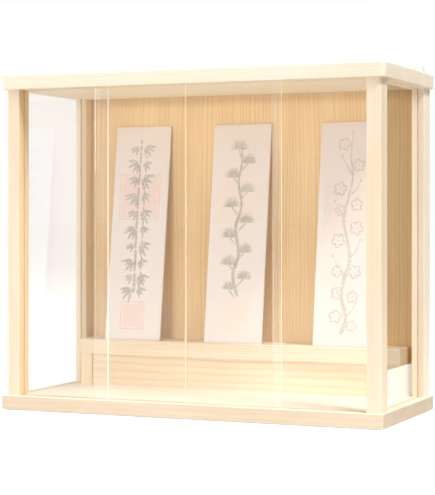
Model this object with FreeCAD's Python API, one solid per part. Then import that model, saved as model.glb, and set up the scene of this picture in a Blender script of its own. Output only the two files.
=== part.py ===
"""Box-shaped household shrine shelf (kamidana) with four clear sliding front panes.

Millimetres. X right, Y to the back, Z up. Origin at the middle of the underside.
"""
import math
import os

import FreeCAD
import Part

os.makedirs("parts", exist_ok=True)

# Outside of the case
TOP_W = 439.0
CASE_D = 184.0
CASE_H = 365.0
BOARD_T = 15.0
BASE_INSET = 1.0
TOP_CORNER_R = 6.0
BASE_CORNER_R = 2.5
EASE_R = 1.0

# Corner posts
POST_W = 15.0
POST_D = 22.0
SIDE_OVERHANG = 5.5
FRONT_OVERHANG = 5.0
POST_CHAMFER = 2.2
POST_EASE = 0.7
TENON_W = 7.0
TENON_L = 12.0
TENON_H = 6.0
TENON_EDGE = 1.5
TENON_PLAY = 0.1

# Clear panes and their grooves
PANE_T = 2.0
PANE_PLAY = 0.3
PANE_EASE = 0.3
TRACK_WALL = 2.0
TRACK_SETBACK = 7.0
TRACK_LOW = 3.0
TRACK_HIGH = 7.0
RUN_PLAY = 0.1
DOOR_GRIP = 3.0
POST_GROOVE = 4.0
DOOR_OVERLAP = 12.6
DOOR_MEET_GAP = 1.0
DOOR_MEET_X = -1.5
HELD_GROOVE = 4.0
SIDE_GRIP = 3.5
SIDE_LINE = 8.0

# Back panel
BACK_T = 5.0
BACK_SETBACK = 3.5
BACK_PLAY = 0.2

# Inner shelf
SHELF_SIDE_PLAY = 6.0
SHELF_TOP = 68.5
SHELF_T = 17.5
SHELF_D = 38.5
SHELF_NOSE_R = 2.0
LEG_W = 14.5
LEG_SETBACK = 1.0
KICK_T = 10.0
KICK_SETBACK = 2.0
KICK_GAP = 0.5
EASE_SMALL = 0.6

# Talismans
SLIP_W = 70.0
SLIP_HEADROOM = 34.0
SLIP_T = 2.5
SLIP_MARGIN = 31.0
SLIP_SHIFT = {"left": -0.7, "centre": -2.4, "right": 1.0}
SLIP_EASE = 0.5
FOOT_SETBACK = 4.0
FOOT_GROOVE = 1.5
FOOT_PLAY = 0.5
LEAN_PLAY = 0.02

# Hanging plates
HANGER_INSET = 14.0
HANGER_W = 15.0
HANGER_T = 1.5
HANGER_RISE = 13.0
HANGER_DROP = 11.5
HANGER_HOLE_R = 4.5
HANGER_CORNER_R = 2.0
SCREW_R = 1.1
SCREW_HEAD_R = 2.2
SCREW_HEAD_H = 1.2
SCREW_L = 12.0
SCREW_PLAY = 0.1
SCREW_PITCH = 7.5
SCREW_DROP = 6.5
SLOT_W = 0.6
SLOT_DEPTH = 0.5

# Places that follow from the sizes above
HALF_D = CASE_D / 2.0
Z_FLOOR = BOARD_T
Z_CEIL = CASE_H - BOARD_T
POST_OUT = TOP_W / 2.0 - SIDE_OVERHANG
POST_IN = POST_OUT - POST_W
FRONT_Y = -HALF_D + FRONT_OVERHANG
FRONT_BACK_Y = FRONT_Y + POST_D
REAR_FRONT_Y = HALF_D - POST_D
GROOVE_W = PANE_T + 2.0 * PANE_PLAY
TRACK_FRONT_Y = FRONT_Y + TRACK_SETBACK
TRACK_REAR_Y = TRACK_FRONT_Y + GROOVE_W + TRACK_WALL
SIDE_X = POST_OUT - SIDE_LINE
DOOR_W = (POST_IN + DOOR_GRIP - DOOR_MEET_GAP / 2.0 + DOOR_OVERLAP) / 2.0
BACK_REAR_Y = HALF_D - BACK_SETBACK
BACK_FACE_Y = BACK_REAR_Y - BACK_T
SHELF_REAR_Y = BACK_FACE_Y - BACK_PLAY
SHELF_FRONT_Y = SHELF_REAR_Y - SHELF_D
SHELF_UNDER = SHELF_TOP - SHELF_T
SHELF_HALF_W = POST_IN - SHELF_SIDE_PLAY
SLIP_PITCH = SHELF_HALF_W - SLIP_MARGIN - SLIP_W / 2.0
SLIP_X = {"left": SLIP_SHIFT["left"] - SLIP_PITCH, "centre": SLIP_SHIFT["centre"],
          "right": SLIP_SHIFT["right"] + SLIP_PITCH}
TENON_X = POST_OUT - TENON_EDGE - TENON_W / 2.0
HANGER_X = POST_OUT - HANGER_INSET


def block(x0, x1, y0, y1, z0, z1):
    return Part.makeBox(x1 - x0, y1 - y0, z1 - z0, FreeCAD.Vector(x0, y0, z0))


def upright_edges(shape, picks):
    """Edges along Z whose X and Y pass the test."""
    found = []
    for edge in shape.Edges:
        a, b = edge.firstVertex().Point, edge.lastVertex().Point
        if abs(a.x - b.x) < 1e-6 and abs(a.y - b.y) < 1e-6 and picks(a.x, a.y):
            found.append(edge)
    return found


def rim_edges(shape, z):
    """Edges lying in the level plane at height z."""
    return [e for e in shape.Edges
            if abs(e.BoundBox.ZMin - z) < 1e-6 and abs(e.BoundBox.ZMax - z) < 1e-6]


def eased_board(half_w, z0, corner_r):
    board = block(-half_w, half_w, -HALF_D, HALF_D, z0, z0 + BOARD_T)
    board = board.makeFillet(corner_r, upright_edges(board, lambda x, y: True))
    return board.makeFillet(EASE_R, rim_edges(board, z0) + rim_edges(board, z0 + BOARD_T))


def tenon_span(rear):
    """Front and back Y of the stub tenon on a front or a rear post."""
    if rear:
        return HALF_D - TENON_EDGE - TENON_L, HALF_D - TENON_EDGE
    return FRONT_Y + TENON_EDGE, FRONT_Y + TENON_EDGE + TENON_L


def cut_grooves(board, face_z, sign, track_depth):
    """Cut every groove and mortise into the face at face_z; sign points into the wood."""

    def sink(x0, x1, y0, y1, depth):
        low, high = sorted((face_z, face_z + sign * depth))
        return block(x0, x1, y0, y1, low, high)

    half = GROOVE_W / 2.0
    cutters = [
        sink(-POST_IN, POST_IN, TRACK_FRONT_Y - half, TRACK_FRONT_Y + half, track_depth),
        sink(-POST_IN - POST_GROOVE, POST_IN + POST_GROOVE,
             TRACK_REAR_Y - half, TRACK_REAR_Y + half, track_depth),
        sink(-POST_IN - HELD_GROOVE, POST_IN + HELD_GROOVE,
             BACK_FACE_Y - BACK_PLAY, BACK_REAR_Y + BACK_PLAY, HELD_GROOVE),
    ]
    for side in (-1, 1):
        x = side * SIDE_X
        cutters.append(sink(x - half, x + half, FRONT_BACK_Y - HELD_GROOVE,
                            REAR_FRONT_Y + HELD_GROOVE, HELD_GROOVE))
        for rear in (False, True):
            y0, y1 = tenon_span(rear)
            x = side * TENON_X
            reach = TENON_W / 2.0 + TENON_PLAY
            cutters.append(sink(x - reach, x + reach, y0 - TENON_PLAY, y1 + TENON_PLAY,
                                TENON_H + TENON_PLAY))
    for cutter in cutters:
        board = board.cut(cutter)
    return board


def rod_y(x, z, radius, y0, y1):
    return Part.makeCylinder(radius, y1 - y0, FreeCAD.Vector(x, y0, z), FreeCAD.Vector(0, 1, 0))


def screw_places(side):
    x = side * HANGER_X
    return [(x - side * SCREW_PITCH / 2.0, CASE_H - SCREW_DROP),
            (x + side * SCREW_PITCH / 2.0, CASE_H - SCREW_DROP)]


def hanger_seat(side):
    """Shallow seat for one hanging plate, with its screw bores, in the rear edge of the board."""
    x = side * HANGER_X
    reach = HANGER_W / 2.0 + SCREW_PLAY
    seat = block(x - reach, x + reach, HALF_D - HANGER_T, HALF_D,
                 CASE_H - HANGER_DROP - SCREW_PLAY, CASE_H)
    for sx, sz in screw_places(side):
        seat = seat.fuse(rod_y(sx, sz, SCREW_R + SCREW_PLAY,
                               HALF_D - SCREW_L - SCREW_PLAY, HALF_D))
    return seat


def top_board():
    board = eased_board(TOP_W / 2.0, Z_CEIL, TOP_CORNER_R)
    board = cut_grooves(board, Z_CEIL, 1, TRACK_HIGH)
    for side in (-1, 1):
        board = board.cut(hanger_seat(side))
    return board


def base_board():
    board = eased_board(TOP_W / 2.0 - BASE_INSET, 0.0, BASE_CORNER_R)
    return cut_grooves(board, Z_FLOOR, -1, TRACK_LOW)


def post(side, rear):
    """One corner post with its stub tenons, built on the right and mirrored if needed."""
    y0 = REAR_FRONT_Y if rear else FRONT_Y
    body = block(POST_IN, POST_OUT, y0, y0 + POST_D, Z_FLOOR, Z_CEIL)
    show = upright_edges(body, lambda x, y: x > POST_OUT - 0.1 and y < y0 + 0.1)
    if rear:
        body = body.makeChamfer(POST_EASE, show)
    else:
        body = body.makeChamfer(POST_CHAMFER, show)
        inner = upright_edges(body, lambda x, y: x < POST_IN + 0.1 and y < y0 + 0.1)
        body = body.makeChamfer(POST_EASE, inner)
    half = GROOVE_W / 2.0
    pane_y = (y0, y0 + HELD_GROOVE) if rear else (y0 + POST_D - HELD_GROOVE, y0 + POST_D)
    body = body.cut(block(SIDE_X - half, SIDE_X + half, pane_y[0], pane_y[1], Z_FLOOR, Z_CEIL))
    if rear:
        body = body.cut(block(POST_IN, POST_IN + HELD_GROOVE, BACK_FACE_Y - BACK_PLAY,
                              BACK_REAR_Y + BACK_PLAY, Z_FLOOR, Z_CEIL))
    else:
        body = body.cut(block(POST_IN, POST_IN + POST_GROOVE, TRACK_REAR_Y - half,
                              TRACK_REAR_Y + half, Z_FLOOR, Z_CEIL))
    ty0, ty1 = tenon_span(rear)
    tx0, tx1 = TENON_X - TENON_W / 2.0, TENON_X + TENON_W / 2.0
    body = body.fuse(block(tx0, tx1, ty0, ty1, Z_FLOOR - TENON_H, Z_FLOOR))
    body = body.fuse(block(tx0, tx1, ty0, ty1, Z_CEIL, Z_CEIL + TENON_H)).removeSplitter()
    if side < 0:
        body = body.mirror(FreeCAD.Vector(0, 0, 0), FreeCAD.Vector(1, 0, 0))
    return body


def back_panel():
    reach = POST_IN + HELD_GROOVE - BACK_PLAY
    return block(-reach, reach, BACK_FACE_Y, BACK_REAR_Y,
                 Z_FLOOR - HELD_GROOVE, Z_CEIL + HELD_GROOVE - BACK_PLAY)


def pane(x0, x1, y0, y1, z0, z1):
    sheet = block(x0, x1, y0, y1, z0, z1)
    return sheet.makeChamfer(PANE_EASE, upright_edges(sheet, lambda x, y: True))


def side_glass(side):
    x = side * SIDE_X
    return pane(x - PANE_T / 2.0, x + PANE_T / 2.0,
                FRONT_BACK_Y - SIDE_GRIP, REAR_FRONT_Y + SIDE_GRIP,
                Z_FLOOR - HELD_GROOVE, Z_CEIL + SIDE_GRIP)


def door(side, outer):
    if outer:
        far = POST_IN + DOOR_GRIP
        near, y = far - DOOR_W, TRACK_REAR_Y
    else:
        near = DOOR_MEET_GAP / 2.0 + side * DOOR_MEET_X
        far, y = near + DOOR_W, TRACK_FRONT_Y
    x0, x1 = sorted((side * near, side * far))
    return pane(x0, x1, y - PANE_T / 2.0, y + PANE_T / 2.0,
                Z_FLOOR - TRACK_LOW + RUN_PLAY, Z_CEIL + DOOR_GRIP)


def foot_corner():
    """Rear lower edge of a leaning slip: Y, Z, the slip's height and its lean angle."""
    y = SHELF_FRONT_Y + FOOT_SETBACK + SLIP_T
    z = SHELF_TOP - FOOT_GROOVE
    run = BACK_FACE_Y - LEAN_PLAY - y
    rise = Z_CEIL - SLIP_HEADROOM - z
    return y, z, math.hypot(run, rise), math.degrees(math.atan2(run, rise))


def shelf_board():
    shelf = block(-SHELF_HALF_W, SHELF_HALF_W, SHELF_FRONT_Y, SHELF_REAR_Y,
                  SHELF_UNDER, SHELF_TOP)
    nose = [e for e in rim_edges(shelf, SHELF_TOP) if e.BoundBox.YMax < SHELF_FRONT_Y + 0.1]
    shelf = shelf.makeFillet(SHELF_NOSE_R, nose)
    y, z, tall, lean = foot_corner()
    for x in SLIP_X.values():
        reach = SLIP_W / 2.0 + FOOT_PLAY
        shelf = shelf.cut(block(x - reach, x + reach, y - SLIP_T - FOOT_PLAY, y + FOOT_PLAY,
                                z, SHELF_TOP))
    return shelf


def shelf_leg(side):
    x0, x1 = sorted((side * (SHELF_HALF_W - LEG_W), side * SHELF_HALF_W))
    leg = block(x0, x1, SHELF_FRONT_Y + LEG_SETBACK, SHELF_REAR_Y, Z_FLOOR, SHELF_UNDER)
    front = upright_edges(leg, lambda x, y: y < SHELF_FRONT_Y + LEG_SETBACK + 0.1)
    return leg.makeChamfer(EASE_SMALL, front)


def kick_board():
    reach = SHELF_HALF_W - LEG_W - KICK_GAP
    y0 = SHELF_FRONT_Y + KICK_SETBACK
    return block(-reach, reach, y0, y0 + KICK_T, Z_FLOOR, SHELF_UNDER)


def talisman(x):
    y, z, tall, lean = foot_corner()
    slip = block(x - SLIP_W / 2.0, x + SLIP_W / 2.0, y - SLIP_T, y, z, z + tall)
    slip = slip.makeChamfer(SLIP_EASE, upright_edges(slip, lambda px, py: True))
    slip.rotate(FreeCAD.Vector(x, y, z), FreeCAD.Vector(1, 0, 0), -lean)
    return slip


def hanger(side):
    """Flat plate on the board's rear edge whose ring stands above the case."""
    x = side * HANGER_X
    half = HANGER_W / 2.0
    ring_z = CASE_H + HANGER_RISE - half
    y0, y1 = HALF_D - HANGER_T, HALF_D
    plate = block(x - half, x + half, y0, y1, CASE_H - HANGER_DROP, ring_z)
    low = [e for e in plate.Edges if e.BoundBox.ZMax < CASE_H - HANGER_DROP + 0.1
           and e.BoundBox.YLength > HANGER_T - 0.1]
    plate = plate.makeFillet(HANGER_CORNER_R, low)
    plate = plate.fuse(rod_y(x, ring_z, half, y0, y1)).removeSplitter()
    plate = plate.cut(rod_y(x, ring_z, HANGER_HOLE_R, y0, y1))
    for sx, sz in screw_places(side):
        plate = plate.cut(Part.makeCone(SCREW_R + SCREW_PLAY, SCREW_HEAD_R + SCREW_PLAY,
                                        HANGER_T, FreeCAD.Vector(sx, y0, sz),
                                        FreeCAD.Vector(0, 1, 0)))
    return plate


def hanger_screw(x, z):
    """Countersunk screw, head flush with the back of its plate, with a straight slot."""
    shank = rod_y(x, z, SCREW_R, HALF_D - SCREW_L, HALF_D - SCREW_HEAD_H)
    head = Part.makeCone(SCREW_R, SCREW_HEAD_R, SCREW_HEAD_H,
                         FreeCAD.Vector(x, HALF_D - SCREW_HEAD_H, z), FreeCAD.Vector(0, 1, 0))
    screw = shank.fuse(head).removeSplitter()
    slot = block(x - SCREW_HEAD_R, x + SCREW_HEAD_R, HALF_D - SLOT_DEPTH, HALF_D,
                 z - SLOT_W / 2.0, z + SLOT_W / 2.0)
    return screw.cut(slot)


def build():
    nodes = {
        "top_board": top_board(),
        "base_board": base_board(),
        "back_panel": back_panel(),
        "shelf_board": shelf_board(),
        "kick_board": kick_board(),
    }
    for side, word in ((-1, "left"), (1, "right")):
        nodes["post_front_" + word] = post(side, False)
        nodes["post_back_" + word] = post(side, True)
        nodes["side_glass_" + word] = side_glass(side)
        nodes["door_outer_" + word] = door(side, True)
        nodes["door_inner_" + word] = door(side, False)
        nodes["shelf_leg_" + word] = shelf_leg(side)
        nodes["hanger_" + word] = hanger(side)
        for place, (x, z) in zip(("inner", "outer"), screw_places(side)):
            nodes["hanger_screw_%s_%s" % (word, place)] = hanger_screw(x, z)
    for word, x in SLIP_X.items():
        nodes["talisman_" + word] = talisman(x)
    return nodes


for name, shape in build().items():
    shape.exportStep(os.path.join("parts", name + ".step"))
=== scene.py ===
"""Looks of a box-shaped household shrine shelf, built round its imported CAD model.

Metres, X right, Y to the back, Z up, the same frame as the CAD. Sizes inside the wood and paper
patterns are in millimetres, because that is how grain and fibres are measured.
"""
import math
import random

import bmesh
import bpy
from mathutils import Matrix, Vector, noise

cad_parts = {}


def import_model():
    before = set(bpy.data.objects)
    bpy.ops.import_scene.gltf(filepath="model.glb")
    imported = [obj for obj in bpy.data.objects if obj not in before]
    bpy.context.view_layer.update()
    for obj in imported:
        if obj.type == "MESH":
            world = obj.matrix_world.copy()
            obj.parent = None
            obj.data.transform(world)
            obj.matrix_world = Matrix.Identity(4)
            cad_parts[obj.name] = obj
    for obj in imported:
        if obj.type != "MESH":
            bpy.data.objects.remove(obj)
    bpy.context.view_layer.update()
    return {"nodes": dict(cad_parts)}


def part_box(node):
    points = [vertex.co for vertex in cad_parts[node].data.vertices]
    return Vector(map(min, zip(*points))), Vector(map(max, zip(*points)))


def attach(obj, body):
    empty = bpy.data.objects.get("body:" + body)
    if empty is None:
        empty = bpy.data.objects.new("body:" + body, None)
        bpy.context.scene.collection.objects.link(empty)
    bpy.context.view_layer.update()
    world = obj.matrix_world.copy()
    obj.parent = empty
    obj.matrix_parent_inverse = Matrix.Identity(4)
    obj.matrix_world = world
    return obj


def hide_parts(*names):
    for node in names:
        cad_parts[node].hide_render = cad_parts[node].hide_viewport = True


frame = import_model()
NODES = frame["nodes"]

# Camera, from the lines of the case in the photograph
IMAGE_LONG = 495.0
CAMERA_AT = (0.6929, -1.6151, 0.2119)
CAMERA_YAW = 23.213
FOCAL_PX = 1603.3
HORIZON_PX = 215.7
CLIP_NEAR = 0.05
CLIP_FAR = 50.0

# Studio
AMBIENT = 0.45
ROOM_TINT = (1.0, 0.985, 0.965, 1.0)
LAMP_TINT = (1.0, 0.98, 0.95)
WHITE = (1.0, 1.0, 1.0, 1.0)
DIM_GLOSS = 0.04
DIM_FROM = 0.1
DIM_TO = 0.7
FLOOR_GREY = (0.88, 0.88, 0.88, 1.0)
FLOOR_GLOW = 0.58
FLOOR_MIRRORED = 0.464
FLOOR_REACH = 40.0
FLOOR_RIGHT = 0.375
FLOOR_DROP = 0.001
AIM = (0.0, 0.0, 0.18)
SUN_AWAY = 3.0

# Wood patterns, in mm: how long they are along the grain and how wide across it
DRIFT_MM = (230.0, 110.0)
FIBRE_MM = (34.0, 1 / 2.3)
PATCH_MM = (160.0, 26.0)
STREAK_MM = (420.0, 4.2)

# How uneven the years are, and how much patches and fibres darken the wood
YEARS_UNEVEN = 3.2
PATCH_DEPTH = 0.26
FIBRE_DEPTH = 0.30
FIBRE_LEVEL = -0.12

# Where the painted shade on the post sides that look into the case begins and where it is full, in mm
# from the middle
INNER_SHADE_FROM = 207.0
INNER_SHADE_FULL = 204.5

# Thickness of a talisman, in m
SLIP_T = 0.0025

# Its paper, in mm, and how many rows and columns of points the paper has
SLACK = 0.10
SLIP_CORNER = 0.7
SLIP_FLAP_AT = 9.0
SLIP_FLAP_T = 0.2
SLIP_STATIONS = 44
SLIP_COLUMNS = 14

# How far the stamps, the ink and each next stroke lie off the paper, in mm, and when that repeats
STAMP_LIFT = 0.012
INK_LIFT = 0.028
STROKE_LIFT = 0.0007
STROKE_LEVELS = 12

# Stamps: line and margin in mm, half length and width of a bar as shares of its cell
STAMP_LINE = 1.6
STAMP_MARGIN = 2.2
BAR_REACH = 0.47
BAR_WIDTH = 0.22


def srgb(r, g, b):
    """A screen colour, 0 to 255, as the linear one that shaders take."""
    def lin(c):
        c /= 255.0
        return c / 12.92 if c <= 0.04045 else ((c + 0.055) / 1.055) ** 2.4
    return (lin(r), lin(g), lin(b), 1.0)


class Graph:
    """Makes the nodes of one material or of the world."""

    def __init__(self, owner):
        owner.use_nodes = True
        self.tree = owner.node_tree
        self.tree.nodes.clear()

    def add(self, kind, inputs=None, **settings):
        made = self.tree.nodes.new(kind)
        for key, value in settings.items():
            setattr(made, key, value)
        for key, value in (inputs or {}).items():
            if isinstance(value, bpy.types.NodeSocket):
                self.tree.links.new(value, made.inputs[key])
            else:
                made.inputs[key].default_value = value
        return made

    def math(self, operation, a, b=0.0, c=0.0, clamp=False):
        return self.add("ShaderNodeMath", {0: a, 1: b, 2: c},
                        operation=operation, use_clamp=clamp).outputs[0]

    def mix(self, factor, a, b, blend="MIX"):
        made = self.add("ShaderNodeMix", {0: factor, 6: a, 7: b},
                        data_type="RGBA", blend_type=blend)
        return made.outputs[2]

    def tinted(self, colour, amount, tint):
        """The colour, multiplied by the tint where amount is 1."""
        return self.mix(amount, colour, self.mix(1.0, colour, tint, "MULTIPLY"))

    def xyz(self, x, y, z):
        return self.add("ShaderNodeCombineXYZ", {0: x, 1: y, 2: z}).outputs[0]

    def noise(self, vector, scale=1.0, detail=2.0, rough=0.5):
        return self.add("ShaderNodeTexNoise", {
            "Vector": vector, "Scale": scale, "Detail": detail, "Roughness": rough}).outputs

    def step(self, value, low, high, to_low=0.0, to_high=1.0):
        return self.add("ShaderNodeMapRange", {
            0: value, 1: low, 2: high, 3: to_low, 4: to_high},
            interpolation_type="SMOOTHSTEP").outputs[0]

    def surface(self, shader, kind="ShaderNodeOutputMaterial"):
        self.add(kind, {"Surface": shader})


def new_material(name):
    made = bpy.data.materials.new(name)
    return made, Graph(made)


def wood(name, grain, heart, ring, light, dark, wander=6.0, depth=0.36, seed=0.0, shine=0.52,
         streaks=0.12, edge=None, end=(0.965, 0.944, 0.916, 1.0), inner=None, front=-2.0,
         underside_shade=None):
    """Planed softwood cut from a log: growth rings round an axis that runs along the grain.

    grain is the axis the log lay along, heart where its middle lies across the board in mm,
    ring the rings' mean width in mm, depth how dark the late wood is, streaks how strong the
    broad fibres are. edge is painted shade on the faces that stand upright, end tints the cut
    across the grain (deeper end grain, and on some boards painted shade too), inner is painted
    shade on the parts of a post that look into the case and the underside tint painted shade on
    the faces that look down. front is how far a face may turn to the front and still take the
    painted inner shade.
    """
    material, g = new_material(name)
    coords = g.add("ShaderNodeTexCoord")
    at = g.add("ShaderNodeSeparateXYZ", {0: g.add(
        "ShaderNodeVectorMath", {0: coords.outputs["Object"], 3: 1000.0},
        operation="SCALE").outputs[0]}).outputs
    facing = g.add("ShaderNodeSeparateXYZ", {0: coords.outputs["Normal"]}).outputs
    order = {"X": (0, 1, 2), "Y": (1, 0, 2), "Z": (2, 0, 1)}[grain]
    along, across, up = (at[i] for i in order)

    def pattern(u, v, size, shift, detail, rough=0.5):
        """Noise drawn out along the grain."""
        return g.noise(g.xyz(g.math("MULTIPLY_ADD", along, 1 / size[0], shift),
                             g.math("MULTIPLY", u, 1 / size[1]),
                             g.math("MULTIPLY", v, 1 / size[1])), detail=detail, rough=rough)

    # The log isn't straight: its middle wanders slowly along the board
    drift = pattern(across, up, DRIFT_MM, seed, 2.5, 0.45)
    parts = g.add("ShaderNodeSeparateXYZ", {0: drift["Color"]}).outputs
    a = g.math("ADD", g.math("SUBTRACT", across, heart[0]),
               g.math("MULTIPLY_ADD", parts[0], 2 * wander, -wander))
    b = g.math("ADD", g.math("SUBTRACT", up, heart[1]),
               g.math("MULTIPLY_ADD", parts[1], 2 * wander, -wander))
    radius = g.math("SQRT", g.math("ADD", g.math("MULTIPLY", a, a), g.math("MULTIPLY", b, b)))
    years = g.math("DIVIDE", radius, ring)
    # Good and lean years: rings of uneven width and of uneven strength
    pace = g.noise(g.xyz(g.math("MULTIPLY_ADD", years, 0.21, seed * 3.1), 0.0, 0.0), detail=2.0)
    years = g.math("MULTIPLY_ADD", pace["Fac"], YEARS_UNEVEN, years)
    part = g.math("FRACT", years)
    late = g.math("MULTIPLY", g.step(part, 0.35, 0.9), g.step(part, 1.0, 0.93))
    strong = g.noise(g.xyz(g.math("MULTIPLY_ADD", g.math("FLOOR", years), 0.61, seed * 7.7),
                           0.5, 0.5), detail=0.0)
    late = g.math("MULTIPLY", late, g.step(strong["Fac"], 0.2, 0.8, 0.25, 1.0))

    # Fine fibres and broad streaks along the grain, and slower patches of tone
    fibre = pattern(a, b, FIBRE_MM, seed, 3.0, 0.6)["Fac"]
    patch = pattern(a, b, PATCH_MM, seed * 2.0, 2.0)["Fac"]
    streak = pattern(a, b, STREAK_MM, seed * 1.3, 3.0, 0.6)["Fac"]
    tone = g.math("ADD", g.math("MULTIPLY", late, depth),
                  g.math("MULTIPLY", g.step(patch, 0.3, 0.72), PATCH_DEPTH))
    tone = g.math("ADD", tone, g.math("MULTIPLY_ADD", fibre, FIBRE_DEPTH, FIBRE_LEVEL))
    tone = g.math("ADD", tone, g.math("MULTIPLY_ADD", streak, 2 * streaks, -streaks), clamp=True)
    colour = g.mix(tone, light, dark)

    # Cut across, the same wood drinks light: its end grain is a little deeper.
    # Where a board's end tint is stronger, it also paints shade on those ends
    colour = g.tinted(colour, g.step(g.math("ABSOLUTE", facing[order[0]]), 0.6, 0.95), end)
    # Painted shade: faces that stand upright are tinted darker than those that look up or down
    if edge:
        colour = g.tinted(colour, g.step(g.math("ABSOLUTE", facing[2]), 0.8, 0.4), edge)
    # Painted shade: the sides of a post that look into the case take a warm, darker tint
    if inner:
        turned = g.math("MULTIPLY", g.step(g.math("ABSOLUTE", at[0]), INNER_SHADE_FROM, INNER_SHADE_FULL),
                        g.step(facing[1], front, front + 0.4))
        colour = g.tinted(colour, turned, inner)
    # Painted shade: faces that look down take a warm tint
    if underside_shade:
        colour = g.tinted(colour, g.step(facing[2], -0.6, -0.9), underside_shade)
    height = g.math("ADD", g.math("MULTIPLY", late, 0.35), g.math("MULTIPLY", fibre, 0.65))
    bump = g.add("ShaderNodeBump", {"Strength": 0.22, "Distance": 0.0002, "Height": height})
    shader = g.add("ShaderNodeBsdfPrincipled", {
        "Base Color": colour,
        "Roughness": g.math("MULTIPLY_ADD", fibre, 0.16, shine - 0.08),
        "Specular IOR Level": 0.35, "Normal": bump.outputs[0]})
    g.surface(shader.outputs[0])
    return material


def glass(name, tint, ior):
    """Clear sheet; lamps and bounced light pass straight through, so what is behind is lit once."""
    material, g = new_material(name)
    clear = g.add("ShaderNodeBsdfPrincipled", {
        "Base Color": tint, "Roughness": 0.0, "IOR": ior, "Transmission Weight": 1.0})
    through = g.add("ShaderNodeBsdfTransparent", {"Color": (0.97, 0.975, 0.97, 1.0)})
    path = g.add("ShaderNodeLightPath").outputs
    bounced = g.add("ShaderNodeMixShader", {
        0: path["Is Diffuse Ray"], 1: clear.outputs[0], 2: through.outputs[0]})
    mixed = g.add("ShaderNodeMixShader", {
        0: path["Is Shadow Ray"], 1: bounced.outputs[0], 2: through.outputs[0]})
    g.surface(mixed.outputs[0])
    return material


def dress(node, material):
    """Give a CAD node its material."""
    NODES[node].data.materials.clear()
    NODES[node].data.materials.append(material)


PALE = srgb(240, 223, 200)
HONEY = srgb(218, 186, 146)
FAIR = srgb(246, 232, 213)

# Painted shade on the top board: its upright faces a little darker, its underside warmer
dress("top_board", wood("wood_top", "X", (-40.0, 120.0), 2.6, srgb(248, 240, 222),
                        srgb(237, 217, 183), seed=3.0, edge=(0.93, 0.90, 0.90, 1.0),
                        end=(1.0, 1.0, 1.0, 1.0), underside_shade=(1.0, 0.96, 0.89, 1.0)))
# Painted shade on the base board: its upright faces and its ends much darker than its top
dress("base_board", wood("wood_base", "X", (30.0, -95.0), 2.9, srgb(253, 247, 233),
                         srgb(238, 219, 192), depth=0.5, streaks=0.2, seed=11.0,
                         edge=(0.765, 0.685, 0.605, 1.0), end=(0.79, 0.775, 0.75, 1.0)))
# Painted shade on the shelf: its ends golden and darker
dress("shelf_board", wood("wood_shelf", "X", (120.0, 150.0), 2.4, srgb(243, 227, 203),
                          srgb(218, 184, 137), depth=0.46, seed=17.0, end=(1.0, 0.90, 0.72, 1.0)))
dress("kick_board", wood("wood_kick", "X", (52.0, 118.0), 7.5, srgb(243, 224, 196),
                         srgb(210, 170, 118), wander=9.0, depth=0.46, streaks=0.18, seed=23.6))
dress("back_panel", wood("wood_back", "Z", (-420.0, 40.0), 4.6, srgb(241, 207, 155),
                         srgb(219, 171, 107), wander=8.0, depth=0.45, streaks=0.34, seed=29.0))
# Painted shade, warm and golden, for the post sides that look into the case; deeper on the left
INNER_SHADE_TINT = {"left": (1.0, 0.91, 0.76, 1.0), "right": (1.0, 0.965, 0.90, 1.0)}
for k, word in enumerate(("left", "right")):
    side = -1 if word == "left" else 1
    dress("post_front_" + word, wood("wood_post_front_" + word, "Z", (side * 260.0, -20.0), 2.3,
                                     PALE, HONEY, depth=0.26, seed=41.0 + k, inner=INNER_SHADE_TINT[word],
                                     front=-0.6))
    dress("post_back_" + word, wood("wood_post_back_" + word, "Z", (side * 150.0, 160.0), 2.1,
                                    FAIR, PALE, depth=0.4, seed=47.0 + k, inner=INNER_SHADE_TINT[word]))
    dress("shelf_leg_" + word, wood("wood_leg_" + word, "Z", (side * 120.0, 30.0), 2.5,
                                    srgb(246, 226, 194), srgb(222, 186, 136), seed=53.0 + k))


def edge_with_painted_glow(name, colour, painted_glow):
    """Sawn and flamed edge of a clear sheet, with a painted emission in its own colour that stands in
    for the light the edge gathers, so it looks bright and milky.
    """
    material, g = new_material(name)
    coords = g.add("ShaderNodeTexCoord").outputs["Object"]
    saw = g.noise(g.add("ShaderNodeMapping", {
        "Vector": coords, "Scale": (2600.0, 2600.0, 180.0)}).outputs[0], detail=3.0)["Fac"]
    bump = g.add("ShaderNodeBump", {"Strength": 0.2, "Distance": 0.00005, "Height": saw})
    shader = g.add("ShaderNodeBsdfPrincipled", {
        "Base Color": g.tinted(colour, g.step(saw, 0.35, 0.7), (0.93, 0.95, 0.94, 1.0)),
        "Emission Color": colour, "Emission Strength": painted_glow,
        "Roughness": 0.28, "IOR": 1.49, "Normal": bump.outputs[0]})
    g.surface(shader.outputs[0])
    return material


def dress_sheet(node, clear, edge, thin):
    """Clear on the two broad faces, the edge material with its painted emission on the narrow ones."""
    mesh = NODES[node].data
    mesh.materials.clear()
    mesh.materials.append(clear)
    mesh.materials.append(edge)
    for face in mesh.polygons:
        face.material_index = 0 if abs(face.normal[thin]) > 0.6 else 1


DOOR_GLASS = glass("door_glass", (1.0, 0.997, 0.992, 1.0), 1.49)
SIDE_GLASS = glass("side_glass", (1.0, 0.993, 0.985, 1.0), 1.5)
# Painted light on the sheet edges: they emit their colour; the golden colour of the side edges also
# paints the shaded wood seen through them
DOOR_EDGE_PAINTED_GLOW = edge_with_painted_glow("door_edge_painted_glow", srgb(252, 236, 212), 0.35)
SIDE_EDGE_PAINTED_GLOW = edge_with_painted_glow("side_edge_painted_glow", srgb(242, 206, 152), 0.25)
for word in ("left", "right"):
    dress_sheet("side_glass_" + word, SIDE_GLASS, SIDE_EDGE_PAINTED_GLOW, 0)
    dress_sheet("door_outer_" + word, DOOR_GLASS, DOOR_EDGE_PAINTED_GLOW, 1)
    dress_sheet("door_inner_" + word, DOOR_GLASS, DOOR_EDGE_PAINTED_GLOW, 1)


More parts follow.
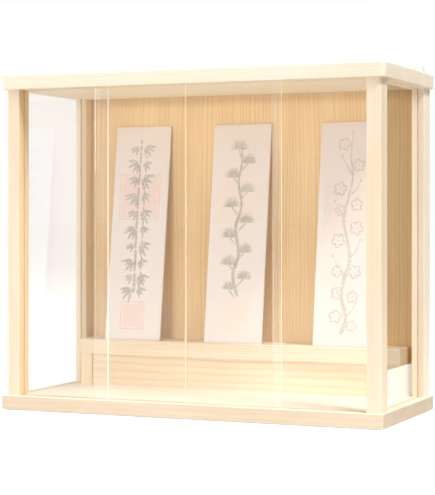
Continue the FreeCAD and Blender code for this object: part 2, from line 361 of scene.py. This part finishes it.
def plated(name, colour, rough):
    """Plated sheet metal, brushed along one way and a little spotted."""
    material, g = new_material(name)
    coords = g.add("ShaderNodeTexCoord").outputs["Object"]
    brushed = g.noise(g.add("ShaderNodeMapping", {
        "Vector": coords, "Scale": (900.0, 900.0, 9000.0)}).outputs[0], detail=3.0)["Fac"]
    spots = g.noise(coords, scale=900.0, detail=2.0)["Fac"]
    bump = g.add("ShaderNodeBump", {"Strength": 0.12, "Distance": 0.00005, "Height": brushed})
    shader = g.add("ShaderNodeBsdfPrincipled", {
        "Base Color": g.tinted(colour, g.step(spots, 0.4, 0.8), (0.8, 0.76, 0.7, 1.0)),
        "Metallic": 1.0,
        "Roughness": g.math("MULTIPLY_ADD", brushed, 0.2, rough), "Normal": bump.outputs[0]})
    g.surface(shader.outputs[0])
    return material


HANGER_METAL = plated("hanger_metal", srgb(206, 201, 192), 0.24)
SCREW_METAL = plated("screw_metal", srgb(190, 184, 172), 0.2)
for word in ("left", "right"):
    dress("hanger_" + word, HANGER_METAL)
    for place in ("inner", "outer"):
        dress("hanger_screw_%s_%s" % (word, place), SCREW_METAL)


def paper(name):
    """Thick handmade paper, with clouds of pulp and long strands."""
    material, g = new_material(name)
    coords = g.add("ShaderNodeTexCoord").outputs["Object"]
    pulp = g.noise(coords, scale=420.0, detail=4.0, rough=0.62)["Fac"]
    strands = g.noise(g.add("ShaderNodeMapping", {
        "Vector": coords, "Scale": (1500.0, 300.0, 260.0),
        "Rotation": (0.0, 0.5, 0.0)}).outputs[0], detail=3.0, rough=0.7)["Fac"]
    colour = g.mix(g.math("MULTIPLY_ADD", pulp, 0.7, g.math("MULTIPLY", strands, 0.3), clamp=True),
                   srgb(246, 236, 231), srgb(238, 224, 218))
    # The upper part hangs in the warm shade of the top board
    height = g.add("ShaderNodeSeparateXYZ", {0: coords}).outputs[2]
    colour = g.tinted(colour, g.step(height, 0.2, 0.34), (0.955, 0.92, 0.88, 1.0))
    bump = g.add("ShaderNodeBump", {
        "Strength": 0.25, "Distance": 0.0002,
        "Height": g.math("ADD", pulp, g.math("MULTIPLY", strands, 0.6))})
    shader = g.add("ShaderNodeBsdfPrincipled", {
        "Base Color": colour, "Roughness": 0.82, "Specular IOR Level": 0.2,
        "Normal": bump.outputs[0]})
    g.surface(shader.outputs[0])
    return material


PAPER = paper("slip_paper")


def printed(name, ink, seed):
    """Thin water-based print: uneven where the brush or the stamp ran dry."""
    material, g = new_material(name)
    coords = g.add("ShaderNodeTexCoord").outputs["Object"]
    dry = g.noise(g.add("ShaderNodeMapping", {
        "Vector": coords, "Location": (seed, 0.0, 0.0),
        "Scale": (1100.0, 1100.0, 420.0)}).outputs[0], detail=4.0, rough=0.7)["Fac"]
    pool = g.noise(coords, scale=90.0 + seed, detail=1.0)["Fac"]
    cover = g.math("MULTIPLY", g.step(dry, 0.34, 0.52),
                   g.step(pool, 0.2, 0.7, 0.72, 1.0))
    shader = g.add("ShaderNodeBsdfPrincipled", {
        "Base Color": g.mix(cover, srgb(246, 236, 228), ink),
        "Roughness": 0.8, "Specular IOR Level": 0.2})
    g.surface(shader.outputs[0])
    return material


class Slip:
    """One talisman: where it leans, read from its CAD node, with x and u (up the slip) in mm."""

    def __init__(self, word, seed):
        self.word, self.seed = word, seed
        low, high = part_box("talisman_" + word)
        lean = 0.0
        for _ in range(30):
            tall = (high.z - low.z - SLIP_T * math.sin(lean)) / math.cos(lean)
            lean = math.asin((high.y - low.y - SLIP_T * math.cos(lean)) / tall)
        self.tall, self.wide = tall * 1000.0, (high.x - low.x) * 1000.0
        self.thick = SLIP_T * 1000.0
        self.up = Vector((0.0, math.sin(lean), math.cos(lean)))
        self.out = Vector((0.0, -math.cos(lean), math.sin(lean)))
        self.foot = Vector(((low.x + high.x) / 2, low.y + SLIP_T * math.cos(lean), low.z))

    def slack(self, x, u):
        """How far the paper lies behind its highest level, in mm."""
        wave = noise.noise(Vector((x / 31.0, u / 52.0, self.seed)))
        wave += 0.4 * noise.noise(Vector((x / 11.0, u / 17.0, self.seed + 5.0)))
        return SLACK * (wave + 1.4)

    def place(self, x, u, t):
        return self.foot + 0.001 * (x * Vector((1, 0, 0)) + u * self.up + t * self.out)

    def on_front(self, x, u, lift):
        return self.place(x, u, self.thick - self.slack(x, u) + lift)

    def outline(self, u, inset):
        """Points round the wrapped slip at one height, front from left to right, then the back."""
        half, r = self.wide / 2 - inset, SLIP_CORNER
        front, back = self.thick - inset, inset
        points = []
        for k in range(SLIP_COLUMNS + 1):
            x = (half - r) * (2 * k / SLIP_COLUMNS - 1)
            points.append((x, front - self.slack(x, u)))
        for step in (1, 2):
            a = math.radians(90 - 30 * step)
            points.append((half - r + r * math.cos(a), front - r + r * math.sin(a)
                           - self.slack(half, u) * (1 - step / 3)))
        points += [(half, front - r - 0.1), (half, back + r)]
        for step in (1, 2):
            a = math.radians(-30 * step)
            points.append((half - r + r * math.cos(a), back + r + r * math.sin(a)))
        points += [(half - r, back), (SLIP_FLAP_AT, back), (SLIP_FLAP_AT - 0.1, back + SLIP_FLAP_T),
                   (-half + r, back + SLIP_FLAP_T)]
        for step in (1, 2):
            a = math.radians(-90 - 30 * step)
            points.append((-half + r + r * math.cos(a), back + SLIP_FLAP_T + r + r * math.sin(a)))
        points += [(-half, back + SLIP_FLAP_T + r), (-half, front - r - 0.1)]
        for step in (1, 2):
            a = math.radians(180 - 30 * step)
            points.append((-half + r + r * math.cos(a), front - r + r * math.sin(a)
                           - self.slack(-half, u) * (step / 3)))
        return points

    def wrap(self):
        """The paper folded round its thin wooden core."""
        rows = [(0.0, 0.45), (0.25, 0.12), (0.7, 0.0)]
        rows += [(0.7 + (self.tall - 1.4) * k / SLIP_STATIONS, 0.0)
                 for k in range(1, SLIP_STATIONS + 1)]
        rows += [(self.tall - 0.25, 0.12), (self.tall, 0.45)]
        verts, faces = [], []
        for u, inset in rows:
            ring = self.outline(u, inset)
            verts += [self.place(x, u, t) for x, t in ring]
        n = len(ring)
        for j in range(len(rows) - 1):
            for k in range(n):
                a, b = j * n + k, j * n + (k + 1) % n
                faces.append((a, b, b + n, a + n))
        faces.append(tuple(range(n))[::-1])
        faces.append(tuple(range((len(rows) - 1) * n, len(rows) * n)))
        return add_mesh("talisman_paper_" + self.word, verts, faces, PAPER, 40.0)


def add_mesh(name, verts, faces, material, sharp_deg):
    mesh = bpy.data.meshes.new(name)
    mesh.from_pydata(verts, [], faces)
    mesh.materials.append(material)
    work = bmesh.new()
    work.from_mesh(mesh)
    bmesh.ops.recalc_face_normals(work, faces=work.faces)
    work.to_mesh(mesh)
    work.free()
    mesh.shade_smooth()
    mesh.set_sharp_from_angle(angle=math.radians(sharp_deg))
    made = bpy.data.objects.new(name, mesh)
    bpy.context.scene.collection.objects.link(made)
    return made


def curve_through(points, per_span=5):
    """Smooth line through the points, as (x, u, share of the way)."""
    ends = [points[0]] + list(points) + [points[-1]]
    found = []
    spans = len(points) - 1
    for k in range(spans):
        p0, p1, p2, p3 = ends[k:k + 4]
        for j in range(per_span + (k == spans - 1)):
            t = j / per_span
            found.append(tuple(
                0.5 * (2 * b + (c - a) * t + (2 * a - 5 * b + 4 * c - d) * t * t
                       + (3 * b - a - 3 * c + d) * t ** 3)
                for a, b, c, d in zip(p0, p1, p2, p3)) + ((k + t) / spans,))
    return found


LEAF = ((0.0, 0.16), (0.18, 0.7), (0.4, 1.0), (0.75, 0.6), (1.0, 0.04))
STEM = ((0.0, 0.55), (0.06, 1.0), (0.5, 0.9), (0.93, 1.0), (1.0, 0.5))
LINE = ((0.0, 0.8), (0.05, 1.0), (0.95, 1.0), (1.0, 0.8))


def width_at(profile, t):
    for (t0, w0), (t1, w1) in zip(profile, profile[1:]):
        if t <= t1:
            return w0 + (w1 - w0) * (t - t0) / (t1 - t0)
    return profile[-1][1]


class Brush:
    """Collects flat strokes that lie on one slip's front."""

    def __init__(self, slip, base_lift):
        self.slip, self.lift = slip, base_lift
        self.verts, self.faces = [], []
        self.count = 0

    def stroke(self, points, width, profile=LINE, rag=0.12, per_span=5):
        line = curve_through(points, per_span)
        self.count += 1
        lift = self.lift + STROKE_LIFT * (self.count % STROKE_LEVELS)
        first = len(self.verts)
        for k, (x, u, t) in enumerate(line):
            x0, u0, _ = line[max(k - 1, 0)]
            x1, u1, _ = line[min(k + 1, len(line) - 1)]
            long = math.hypot(x1 - x0, u1 - u0) or 1.0
            nx, nu = -(u1 - u0) / long, (x1 - x0) / long
            for side in (-1, 1):
                w = 0.5 * width * width_at(profile, t)
                w *= 1 + rag * noise.noise(Vector((x * 0.9, u * 0.9, side * 4.0 + self.count)))
                self.verts.append(self.slip.on_front(x + side * w * nx, u + side * w * nu, lift))
        for k in range(len(line) - 1):
            a = first + 2 * k
            self.faces.append((a, a + 1, a + 3, a + 2))

    def ring(self, x, u, radius, width, start=0.0, turn=360.0):
        points = []
        for k in range(9):
            a = math.radians(start + turn * k / 8)
            points.append((x + radius * math.cos(a), u + radius * math.sin(a)))
        self.stroke(points, width, STEM, per_span=3)

    def finish(self, name, material):
        return add_mesh(name, self.verts, self.faces, material, 180.0)


def bamboo(brush, dice):
    """Two jointed stems with sprays of hanging leaves."""
    for x, bottom, top, width, pitch in ((-2.5, 55, 236, 3.6, 25), (5.5, 62, 205, 2.0, 19)):
        u = bottom
        while u < top:
            end = min(u + pitch * dice.uniform(0.9, 1.1), top)
            bend = 0.5 * math.sin(u / 31.0)
            brush.stroke([(x + bend, u + 0.8), (x + bend + 0.3, (u + end) / 2), (x + bend, end - 0.8)],
                         width * (1.0 - 0.35 * (u - bottom) / (top - bottom)), STEM)
            u = end
    for u, way in ((226, 1), (208, -1), (190, 1), (170, -1), (150, 1), (131, -1), (112, 1), (93, -1),
                   (75, 1), (60, -1)):
        for turned, angles, longest in ((way, (-76, -50, -24, 4), 17.0), (-way, (-66, -34, -6), 13.0)):
            x = -1.0 + turned * 3.0
            for angle in angles:
                a = math.radians(angle + dice.uniform(-7, 7))
                long = dice.uniform(0.75, 1.0) * longest
                dx, du = turned * math.cos(a), math.sin(a)
                brush.stroke([(x + 1.2 * dx, u + 1.2 * du),
                              (x + 0.5 * long * dx, u + 0.5 * long * du + 0.7),
                              (x + long * dx, u + long * du - 0.8)], 4.2, LEAF)


def pine(brush, dice):
    """A bent trunk with fans of needles."""
    trunk = [(3, 54), (-3.5, 78), (2.5, 104), (-3, 131), (3, 158), (-2, 184), (1.5, 208), (0, 224)]
    brush.stroke(trunk, 4.2, ((0.0, 0.9), (0.3, 1.0), (0.7, 0.7), (1.0, 0.35)), rag=0.5)
    for x, u, size in ((-8, 62, 10), (10, 74, 11), (-9.5, 90, 12), (9.5, 104, 12), (-10, 121, 12.5),
                       (9.5, 138, 12.5), (-9.5, 156, 12.5), (9.5, 173, 12), (-9, 190, 12),
                       (9, 206, 11.5), (-3, 222, 13.5)):
        brush.stroke([(x * 0.12, u - 9), (x * 0.55, u - 4.5), (x, u)], 1.7, STEM)
        for k in range(15):
            a = math.radians(4 + 172 * k / 14 + dice.uniform(-2, 2))
            long = size * (0.86 + 0.14 * math.sin(a)) * dice.uniform(0.93, 1.05)
            brush.stroke([(x + 1.0 * math.cos(a), u + 0.6 * math.sin(a)),
                          (x + 0.55 * long * math.cos(a), u + 0.55 * long * math.sin(a) + 0.2),
                          (x + long * math.cos(a), u + long * math.sin(a))], 1.5, LEAF)


def plum(brush, dice):
    """An angular branch with five-petalled blossoms and buds."""
    branch = [(-3, 14), (2, 34), (-4, 56), (-1.5, 76), (4, 96), (0.5, 118), (-4.5, 141), (0, 166),
              (4, 189), (1, 212), (2.5, 237)]
    brush.stroke(branch, 4.4, ((0.0, 0.9), (0.25, 1.0), (0.8, 0.5), (1.0, 0.2)), rag=0.5)
    for x0, u0, x1, u1 in ((2, 34, 14, 52), (-3, 52, -14, 70), (-1.5, 78, -15, 99), (4, 98, 15, 117),
                           (-4.5, 142, -15, 160), (0, 168, 13, 183), (3, 192, -9, 211)):
        brush.stroke([(x0, u0), ((x0 + x1) / 2 + 1.0, (u0 + u1) / 2 - 1.5), (x1, u1)], 1.9,
                     ((0.0, 1.0), (1.0, 0.3)), rag=0.4)
    for x, u, size in ((10, 84, 5.2), (-9, 60, 4.8), (9, 56, 4.6), (-10, 34, 5.0), (-10, 84, 4.6),
                       (-10, 118, 5.4), (10.5, 132, 5.4), (-10, 176, 5.2), (10.5, 202, 4.8),
                       (-7, 226, 4.8), (10, 158, 4.8), (-9, 152, 4.2), (9, 24, 4.4)):
        turn = dice.uniform(0, 72)
        for k in range(5):
            a = math.radians(turn + 72 * k)
            brush.ring(x + size * 0.92 * math.cos(a), u + size * 0.92 * math.sin(a), size * 0.5, 1.9,
                       start=math.degrees(a) - 125, turn=250)
        for k in range(5):
            a = math.radians(turn + 36 + 72 * k)
            brush.stroke([(x + 0.4 * math.cos(a), u + 0.4 * math.sin(a)),
                          (x + 1.7 * math.cos(a), u + 1.7 * math.sin(a))], 0.55)
    for x, u in ((-15.5, 101), (15.5, 119), (-15.5, 162), (13.5, 185), (-9.5, 213), (2.6, 239)):
        brush.stroke([(x, u - 1.6), (x, u), (x, u + 1.6)], 3.2,
                     ((0.0, 0.3), (0.3, 0.9), (0.6, 1.0), (1.0, 0.25)))


def seal(brush, x, u, wide, high, cells):
    """Square stamp: a frame round a basket weave of short bars."""
    w, h = wide / 2, high / 2
    for (x0, u0), (x1, u1) in (((-w, -h), (w, -h)), ((w, -h), (w, h)), ((w, h), (-w, h)),
                               ((-w, h), (-w, -h))):
        brush.stroke([(x + x0, u + u0), (x + (x0 + x1) / 2, u + (u0 + u1) / 2),
                      (x + x1, u + u1)], STAMP_LINE, per_span=8)
    w, h = w - STAMP_MARGIN, h - STAMP_MARGIN
    side_x, side_u = 2 * w / cells, 2 * h / cells
    for j in range(cells):
        for k in range(cells):
            cx, cu = x - w + side_x * (k + 0.5), u - h + side_u * (j + 0.5)
            for bar in (-1, 0, 1):
                if (j + k) % 2 == 0:
                    width = side_u
                    line = [(cx + t * side_x * BAR_REACH, cu + bar * side_u / 3)
                            for t in (-1, 0, 1)]
                else:
                    width = side_x
                    line = [(cx + bar * side_x / 3, cu + t * side_u * BAR_REACH)
                            for t in (-1, 0, 1)]
                brush.stroke(line, BAR_WIDTH * width, per_span=2)


for number, (word, motif, ink, stamp, big, small) in enumerate((
        ("left", bamboo, srgb(178, 168, 161), srgb(243, 203, 191), (-0.5, 168.0), (-2.0, 29.5)),
        ("centre", pine, srgb(184, 172, 158), srgb(248, 222, 205), (-1.0, 164.0), (1.5, 31.0)),
        ("right", plum, srgb(202, 192, 186), srgb(240, 214, 203), (-1.5, 152.0), None))):
    slip = Slip(word, 10.0 + 7.3 * number)
    pieces = [slip.wrap()]
    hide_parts("talisman_" + word)
    brush = Brush(slip, STAMP_LIFT)
    seal(brush, big[0], big[1], 50.0, 52.0, 7)
    if small:
        seal(brush, small[0], small[1], 29.0, 31.0, 5)
    pieces.append(brush.finish("talisman_stamp_" + word, printed("slip_stamp_" + word, stamp, 9.0)))
    brush = Brush(slip, INK_LIFT)
    motif(brush, random.Random(40 + number))
    pieces.append(brush.finish("talisman_ink_" + word, printed("slip_ink_" + word, ink, 3.0)))
    for piece in pieces:
        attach(piece, "case")


def background_seen(g):
    """1 where a ray from the camera, a gloss or a sheet of glass meets the background."""
    path = g.add("ShaderNodeLightPath").outputs
    seen = g.math("MAXIMUM", path["Is Camera Ray"],
                  g.math("MAXIMUM", path["Is Glossy Ray"], path["Is Transmission Ray"]))
    first = g.math("LESS_THAN", path["Diffuse Depth"], 0.5)
    return g.math("MULTIPLY", seen, first), path


def floor():
    mesh = bpy.data.meshes.new("floor")
    mesh.from_pydata([(-FLOOR_REACH, -FLOOR_REACH, -FLOOR_DROP),
                      (FLOOR_RIGHT, -FLOOR_REACH, -FLOOR_DROP),
                      (FLOOR_RIGHT, FLOOR_REACH, -FLOOR_DROP),
                      (-FLOOR_REACH, FLOOR_REACH, -FLOOR_DROP)], [], [(0, 1, 2, 3)])
    made = bpy.data.objects.new("floor", mesh)
    bpy.context.scene.collection.objects.link(made)
    material, g = new_material("floor")
    seen, path = background_seen(g)
    mirrored = g.math("GREATER_THAN", path["Glossy Depth"], 0.5)
    strength = g.math("MULTIPLY_ADD", mirrored, FLOOR_MIRRORED - FLOOR_GLOW, FLOOR_GLOW)
    plain = g.add("ShaderNodeBsdfDiffuse", {"Color": FLOOR_GREY})
    extra = g.add("ShaderNodeEmission", {
        "Color": WHITE, "Strength": g.math("MULTIPLY", seen, strength)})
    both = g.add("ShaderNodeAddShader", {0: plain.outputs[0], 1: extra.outputs[0]})
    g.surface(both.outputs[0])
    mesh.materials.append(material)


def world():
    made = bpy.data.worlds.new("studio")
    bpy.context.scene.world = made
    g = Graph(made)
    seen, path = background_seen(g)
    way = g.add("ShaderNodeSeparateXYZ", {0: g.add(
        "ShaderNodeTexCoord").outputs["Generated"]}).outputs
    # The studio is dim behind the set, which only gloss can show; the backdrop itself is white
    mirrored = g.math("GREATER_THAN", path["Glossy Depth"], 0.5)
    dim = g.math("MULTIPLY", mirrored, g.step(way[1], DIM_FROM, DIM_TO))
    white = g.math("MULTIPLY_ADD", dim, DIM_GLOSS - 1.0, 1.0)
    plain = g.add("ShaderNodeBackground", {"Color": ROOM_TINT, "Strength": AMBIENT})
    shown = g.add("ShaderNodeBackground", {"Color": WHITE, "Strength": white})
    g.surface(g.add("ShaderNodeMixShader", {
        0: seen, 1: plain.outputs[0], 2: shown.outputs[0]}).outputs[0],
        "ShaderNodeOutputWorld")


def lamp(name, at, size, watts):
    """Round soft box aimed at the middle of the case."""
    data = bpy.data.lights.new(name, "AREA")
    data.shape = "DISK"
    data.size = size
    data.energy = watts
    data.color = LAMP_TINT
    made = bpy.data.objects.new(name, data)
    made.location = at
    made.rotation_euler = (Vector(AIM) - Vector(at)).to_track_quat("-Z", "Y").to_euler()
    bpy.context.scene.collection.objects.link(made)


def sun(name, az, el, spread, strength):
    """Even light from one side: az to the right of the front and el above it, in degrees."""
    data = bpy.data.lights.new(name, "SUN")
    data.angle = math.radians(spread)
    data.energy = strength
    made = bpy.data.objects.new(name, data)
    a, e = math.radians(az), math.radians(el)
    made.location = (SUN_AWAY * math.sin(a) * math.cos(e), -SUN_AWAY * math.cos(a) * math.cos(e),
                     SUN_AWAY * math.sin(e))
    made.rotation_euler = (-made.location).to_track_quat("-Z", "Y").to_euler()
    bpy.context.scene.collection.objects.link(made)


def camera():
    data = bpy.data.cameras.new("camera")
    data.lens = FOCAL_PX / IMAGE_LONG * data.sensor_width
    data.shift_y = (HORIZON_PX - IMAGE_LONG / 2) / IMAGE_LONG
    data.clip_start, data.clip_end = CLIP_NEAR, CLIP_FAR
    made = bpy.data.objects.new("camera", data)
    made.location = CAMERA_AT
    made.rotation_euler = (math.radians(90.0), 0.0, math.radians(CAMERA_YAW))
    bpy.context.scene.collection.objects.link(made)
    bpy.context.scene.camera = made


floor()
world()
sun("front", -2.35, 3.0, 3.0, 0.64)
lamp("right", (1.669, -0.674, 2.325), 0.8, 60.0)
lamp("high", (-0.374, -1.76, 2.325), 1.4, 13.0)
lamp("left", (-2.89, -0.51, 0.8), 1.2, 30.0)
lamp("low_right", (2.943, 0.257, 0.701), 1.4, 7.0)
camera()
bpy.context.scene.view_settings.view_transform = "Standard"
